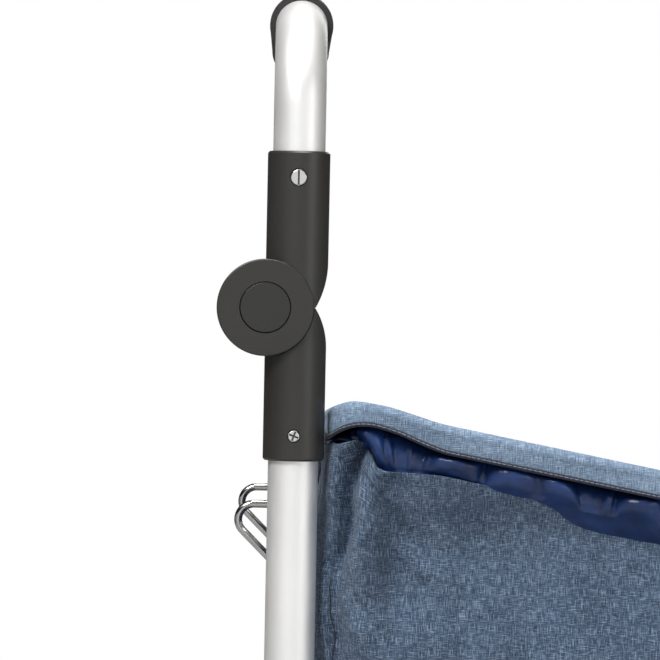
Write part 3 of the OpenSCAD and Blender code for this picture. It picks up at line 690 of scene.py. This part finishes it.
def make_flap():
    cols = 560
    x, y, nx, ny, s, turn = outline(FLAP_LO[0] + 0.5 * MM, FLAP_HI[0] - 0.5 * MM,
                                    FLAP_HI[1] - 0.5 * MM, 18 * MM, cols)
    mid_x = (FLAP_LO[0] + FLAP_HI[0]) / 2
    rings, uvs = [], []
    for share in (0.02, 0.15, 0.3, 0.45, 0.58, 0.7, 0.8, 0.87, 0.92, 0.955):
        px, py = mid_x + (x - mid_x) * share, y * share
        p = np.stack([px, py, np.zeros(cols)], 1)
        z = flap_over(px) - lean_down(px, py) - 0.4 * MM + 1.3 * MM * waves(p, 3, 120 * MM) * (1 - share ** 4)
        z -= 3.2 * MM * (1 - share ** 2) + 0.8 * MM * bell(share, 0.8, 0.2)
        rings.append(np.stack([px, py, z], 1))
        uvs.append(np.stack([px, py], 1))
    # rolled shoulder, then the skirt down to its bound lower edge
    high, low = flap_over(x) - lean_down(x, y), flap_under(x) - 0.8 * lean_down(x, y)
    edge_r = 4.5 * MM
    for a in (15, 35, 55, 75, 90):
        c, d = math.cos(math.radians(a)), math.sin(math.radians(a))
        out = edge_r * (d - 1)
        rings.append(np.stack([x + nx * out, y + ny * out, high - edge_r * (1 - c)], 1))
        uvs.append(np.stack([s, high - edge_r * (1 - c)], 1))
    skirt = np.linspace(0.12, 1, 9)
    for t in skirt:
        z = (high - edge_r) * (1 - t) + low * t
        p = np.stack([x, y, z], 1)
        out = 0.9 * MM * waves(p, 8, 75 * MM) * math.sin(math.pi * t * 0.8) - 0.3 * MM
        rings.append(np.stack([x + nx * out, y + ny * out, z], 1))
        uvs.append(np.stack([s, z], 1))
    flap = loft("flap_cloth", rings, FLAP_CLOTH_PAINTED_LIT, uvs, turn, cap=(0,))
    flap.data.flip_normals()
    # lining: up inside the skirt and across under the top
    inner = []
    for back, t in ((0.4, 1.0), (1.8, 0.98), (2.2, 0.5), (3.5, 0.12)):
        inner.append(np.stack([x - nx * back * MM, y - ny * back * MM, (high - edge_r) * (1 - t) + low * t], 1))
    for share in (0.93, 0.8, 0.6, 0.4, 0.2, 0.02):
        px, py = mid_x + (x - mid_x) * share, y * share
        z = flap_over(px) - lean_down(px, py) - 4 * MM - 6.2 * MM * (1 - share ** 2)
        inner.append(np.stack([px, py, z], 1))
    lining = loft("flap_lining", np.array(inner)[::-1], LINING, cap=(0,))
    # binding round the lower edge, with its stitched line
    place = np.stack([x + nx * 0.2 * MM, y + ny * 0.2 * MM, low + 0.9 * MM], 1)
    binding = tube("flap_binding", place, 1.3 * MM, PIPING, 10, flat=0.7)
    line = np.stack([x + nx * 1.05 * MM, y + ny * 1.05 * MM, low + 1.0 * MM], 1)
    thread = stitches("flap_thread", line, 2.6 * MM, 0.28 * MM)
    return flap, [lining, binding, thread]


def stitches(name, path, pitch, radius, closed=True):
    """Short thread stitches along a path."""
    path = np.asarray(path, float)
    ends = np.roll(path, -1, 0) if closed else path[1:]
    starts = path if closed else path[:-1]
    seg = np.linalg.norm(ends - starts, axis=1)
    run = np.concatenate([[0], np.cumsum(seg)])
    count = int(run[-1] / pitch)
    verts, faces = [], []
    sides = 6
    full = np.vstack([path, path[:1]]) if closed else path

    def at(d):
        return np.array([np.interp(d, run, full[:, k]) for k in range(3)])

    for i in range(count):
        a, b = at((i + 0.14) * run[-1] / count), at((i + 0.86) * run[-1] / count)
        way = (b - a) / np.linalg.norm(b - a)
        side = np.cross(way, (0, 0, 1) if abs(way[2]) < 0.8 else (1, 0, 0))
        side /= np.linalg.norm(side)
        up = np.cross(side, way)
        for place, r in ((a - way * radius, 0.35), (a + way * radius, 1), ((a + b) / 2, 1.12),
                         (b - way * radius, 1), (b + way * radius, 0.35)):
            for k in range(sides):
                ang = k * 2 * math.pi / sides
                verts.append(place + radius * r * (math.cos(ang) * side + math.sin(ang) * up))
        base = i * 5 * sides
        for j in range(4):
            for k in range(sides):
                faces.append((base + j * sides + k, base + j * sides + (k + 1) % sides,
                              base + (j + 1) * sides + (k + 1) % sides, base + (j + 1) * sides + k))
        faces.append(tuple(base + k for k in reversed(range(sides))))
        faces.append(tuple(base + 4 * sides + k for k in range(sides)))
    return make_object(name, verts, faces, STITCH)


flap, flap_trim = make_flap()
for piece in [flap, *flap_trim]:
    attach(piece, "flap")
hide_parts("bag_flap")


# ---------------------------------------------------------------- seams, and painted shade in the screw slots
def make_seams(bag):
    """Stitched seams down the four corners of the bag and a piped one round its floor."""
    tree = BVHTree.FromObject(bag, bpy.context.evaluated_depsgraph_get())

    def on_wall(point, way):
        start = Vector(point) + Vector(way) * 40 * MM
        hit = tree.ray_cast(start, -Vector(way), 0.09)[0]
        return np.array(hit if hit else point)

    made = []
    for tag, cx, sx, top in (("rear", BAG_LO[0] + CORNER_R, -1, BAG_LO[2] + 545 * MM),
                             ("front", BAG_HI[0] - CORNER_R, 1, BAG_HI[2] - 62 * MM)):
        for side in (-1, 1):
            cy = side * (BAG_HI[1] - CORNER_R)
            name = f"seam_{tag}_{'left' if side < 0 else 'right'}"
            heights = np.arange(BAG_LO[2] + 12 * MM, top, 4 * MM)
            for line, turn in (("a", 30.5), ("b", 37.5)):
                c, d = sx * math.cos(math.radians(turn)), side * math.sin(math.radians(turn))
                way = (c, d, 0)
                path = [on_wall((cx + c * CORNER_R, cy + d * CORNER_R, z), way) + np.array(way) * 0.15 * MM
                        for z in heights]
                made.append(stitches(f"{name}_{line}", path, 3.2 * MM, 0.3 * MM, closed=False))
            c, d = sx * math.cos(math.radians(34)), side * math.sin(math.radians(34))
            path = [on_wall((cx + c * CORNER_R, cy + d * CORNER_R, z), (c, d, 0)) for z in heights]
            made.append(tube(f"{name}_fold", path, 0.45 * MM, PIPING, 6, closed=False))
    x, y, nx, ny = outline(BAG_LO[0], BAG_HI[0], BAG_HI[1], CORNER_R, 300)[:4]
    path = [on_wall((a, b, BAG_LO[2] + 8 * MM), (c, d, 0)) for a, b, c, d in zip(x, y, nx, ny)]
    made.append(tube("seam_floor_piping", path, 1.5 * MM, PIPING, 8))
    for piece in made:
        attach(piece, "frame")


def make_slot_shade():
    """Painted shade in the screw slots: thin rods of black plastic laid in the screw heads of the knuckles, standing
    in for the shadow down in each slot.
    """
    for node, body, angles, depth in (("upper_knuckle_screws", "handle", (0,), 0.62),
                                      ("lower_knuckle_screws", "frame", (20, 110), 0.62)):
        low, high = lo(node), hi(node)
        r = (high[2] - low[2]) / 2 - 0.35 * MM
        cx, cz = (low[0] + high[0]) / 2, (low[2] + high[2]) / 2
        for side in (-1, 1):
            y = side * (high[1] - depth * MM)
            for k, a in enumerate(angles):
                a = math.radians(a)
                way = np.array([math.sin(a), 0, math.cos(a)])
                path = [np.array([cx, y, cz]) + way * t * r for t in np.linspace(-1, 1, 9)]
                # each rod is painted shade: a dark stand-in for the shadow inside the slot
                slot = tube(f"slot_{body}_{'left' if side < 0 else 'right'}_{k}", path, 0.42 * MM,
                            MATS["base_plastic"], 8, closed=False)
                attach(slot, body)


make_seams(bag)
make_slot_shade()


# ---------------------------------------------------------------- straps and closure tab
def tape(name, path, width, thick, mat, rows=7):
    """Woven tape along a path in the XZ plane, its width along Y, with soft edges."""
    path = np.asarray(path, float)
    way = np.gradient(path, axis=0)
    way /= np.linalg.norm(way, axis=1)[:, None]
    norm = np.stack([-way[:, 2], np.zeros(len(path)), way[:, 0]], 1)
    section = []
    for i in range(rows):
        a = math.pi * i / (rows - 1)
        section.append((width / 2 - thick / 2 + thick / 2 * math.sin(a), thick / 2 * math.cos(a)))
    section = section + [(-w, -n) for w, n in section]
    m = len(section)
    verts = [p + np.array([0, w, 0]) + n * q for p, q in zip(path, norm) for w, n in section]
    faces = [(i * m + k, i * m + (k + 1) % m, (i + 1) * m + (k + 1) % m, (i + 1) * m + k)
             for i in range(len(path) - 1) for k in range(m)]
    faces += [tuple(reversed(range(m))), tuple((len(path) - 1) * m + k for k in range(m))]
    return make_object(name, verts, faces, mat)


def make_straps():
    """Loops round both cross tubes, their tails sewn flat on the bag's back."""
    made = []
    for tag, node in (("upper", "cross_tube_upper"), ("lower", "cross_tube_lower")):
        c = (lo(node) + hi(node)) / 2
        r = (hi(node)[2] - lo(node)[2]) / 2 + 0.9 * MM
        wall = BAG_LO[0] - 0.6 * MM
        for side in (-1, 1):
            ang = np.radians(np.linspace(38, 322, 40))
            loop = [(c[0] + r * math.cos(a), 0, c[2] + r * math.sin(a)) for a in ang]
            top = [(wall, 0, c[2] + 22 * MM), (wall, 0, c[2] + 16 * MM), (wall - 0.8 * MM, 0, c[2] + 10 * MM)]
            low = [(p[0], 0, 2 * c[2] - p[2]) for p in reversed(top)]
            strap = tape(f"strap_{tag}_{'left' if side < 0 else 'right'}", top + loop + low,
                         30 * MM, 1.3 * MM, TAPE)
            strap.location.y = side * 42 * MM
            bpy.context.view_layer.update()
            strap.data.transform(strap.matrix_world)
            strap.location.y = 0
            bpy.context.view_layer.update()
            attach(strap, "frame")
            made.append(strap)
    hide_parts("bag_straps")
    return made


def make_tab():
    a, b = lo("closure_tab"), hi("closure_tab")
    x = (a[0] + b[0]) / 2
    path = [(x + 0.3 * MM * math.sin(t * 5), 0, b[2] + (a[2] - b[2]) * t) for t in np.linspace(0, 1, 30)]
    tab = tape("tab_webbing", path, b[1] - a[1], 1.8 * MM, TAPE)
    rows = []
    for t in (0.06, 0.14):
        z = b[2] + (a[2] - b[2]) * t
        rows.append([(b[0] + 0.1 * MM, a[1] + 2 * MM + k * 0.5 * MM, z) for k in range(45)])
    for i, row in enumerate(rows):
        seam = stitches(f"tab_thread_{i}", row, 2.6 * MM, 0.28 * MM, closed=False)
        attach(seam, "flap")
    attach(tab, "flap")
    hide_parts("closure_tab")


make_straps()
make_tab()


# ---------------------------------------------------------------- studio
def make_studio():
    scene = bpy.context.scene
    scene.view_settings.view_transform = "Standard"
    world = bpy.data.worlds.new("studio")
    scene.world = world
    world.use_nodes = True
    g = Graph(world.node_tree)
    world.node_tree.nodes.clear()
    path = world.node_tree.nodes.new("ShaderNodeLightPath")
    at = g.add("ShaderNodeTexCoord", out=0)
    split = world.node_tree.nodes.new("ShaderNodeSeparateXYZ")
    world.node_tree.links.new(at, split.inputs[0])
    # mirrored in metal: a bright wall before it, dark behind, a dark floor and ceiling lines
    front = g.math("MULTIPLY_ADD", split.outputs[1], 0.5, 0.5)
    wall = g.ramp(front, [(0.0, (1.06, 1.06, 1.05)), (0.17, (1.0, 1.0, 1.0)), (0.48, (0.52, 0.51, 0.50)),
                          (0.66, (0.24, 0.23, 0.22)), (0.92, (0.09, 0.085, 0.08))])
    left = g.math("MULTIPLY_ADD", split.outputs[0], 0.5, 0.5)
    flag = g.ramp(left, [(0.05, (0.5, 0.5, 0.5)), (0.28, (0.75, 0.75, 0.75)), (0.4, (1, 1, 1))])
    wall = g.mix(1.0, wall, flag, "MULTIPLY")
    rise = g.math("MULTIPLY_ADD", split.outputs[2], 0.5, 0.5)
    bands = g.ramp(rise, [(0.18, (0.06, 0.06, 0.06)), (0.34, (0.3, 0.3, 0.3)), (0.42, (1, 1, 1)),
                          (0.58, (1, 1, 1)), (0.62, (0.06, 0.06, 0.06)), (0.76, (0.06, 0.06, 0.06)),
                          (0.82, (1, 1, 1))])
    wall = g.mix(1.0, wall, bands, "MULTIPLY")
    soft = g.ramp(rise, [(0.3, (0.12, 0.12, 0.12)), (0.55, (0.26, 0.26, 0.26)), (0.9, (0.6, 0.6, 0.6))])
    fill = g.add("ShaderNodeBackground", {"Color": soft, "Strength": 1.0})
    mirror = g.add("ShaderNodeBackground", {"Color": wall, "Strength": 1.0})
    seen = g.add("ShaderNodeBackground", {"Color": (1, 1, 1, 1), "Strength": 1.0})
    both = g.add("ShaderNodeMixShader", {0: path.outputs["Is Glossy Ray"], 1: fill, 2: mirror})
    clear = g.math("MAXIMUM", path.outputs["Is Camera Ray"], path.outputs["Is Transmission Ray"])
    out = world.node_tree.nodes.new("ShaderNodeOutputWorld")
    shown = g.add("ShaderNodeMixShader", {0: clear, 1: both, 2: seen})
    world.node_tree.links.new(shown, out.inputs[0])

    def softbox(name, place, aim, size, power):
        data = bpy.data.lights.new(name, "AREA")
        data.shape = "DISK"
        data.size = size
        data.energy = power
        lamp = bpy.data.objects.new(name, data)
        scene.collection.objects.link(lamp)
        lamp.location = place
        lamp.rotation_euler = (Vector(aim) - Vector(place)).to_track_quat("-Z", "Y").to_euler()

    aim = (0, 0, 0.6)
    softbox("key", (-1.15, -2.0, 2.75), aim, 1.3, 76)
    softbox("top", (0.1, -0.3, 3.0), aim, 1.2, 38)
    softbox("fill", (2.2, -1.8, 1.2), aim, 1.4, 8)
    softbox("back", (0.4, 2.6, 1.8), aim, 1.6, 22)

    floor_mat, g, sh = material("floor_pale", (0.86, 0.86, 0.86), 0.8)
    at = object_coords(g)
    camera_ray = g.add("ShaderNodeLightPath", out=0)
    pale = g.ramp(g.noise(at, 3, 3), [(0, (0.85, 0.85, 0.85)), (1, (0.87, 0.87, 0.87))])
    link(g, g.mix(camera_ray, (0.42, 0.42, 0.42, 1), pale), sh, "Base Color")
    # towards its rim the floor is as white as the room behind it
    far = g.add("ShaderNodeVectorMath", {0: at}, out=1, operation="LENGTH")
    rim = g.add("ShaderNodeMapRange", {"Value": far, "From Min": 0.9, "From Max": 2.6})
    white = g.add("ShaderNodeEmission", {"Color": (1, 1, 1, 1), "Strength": 1.0})
    shown = g.add("ShaderNodeMixShader", {0: g.math("MULTIPLY", rim, camera_ray), 1: sh.outputs[0], 2: white})
    floor_mat.node_tree.links.new(shown, floor_mat.node_tree.nodes["Material Output"].inputs[0])
    bpy.ops.mesh.primitive_circle_add(vertices=96, radius=3, fill_type="NGON", location=(0, 0, 0))
    floor = bpy.context.object
    floor.name = "floor"
    floor.data.materials.append(floor_mat)


make_studio()
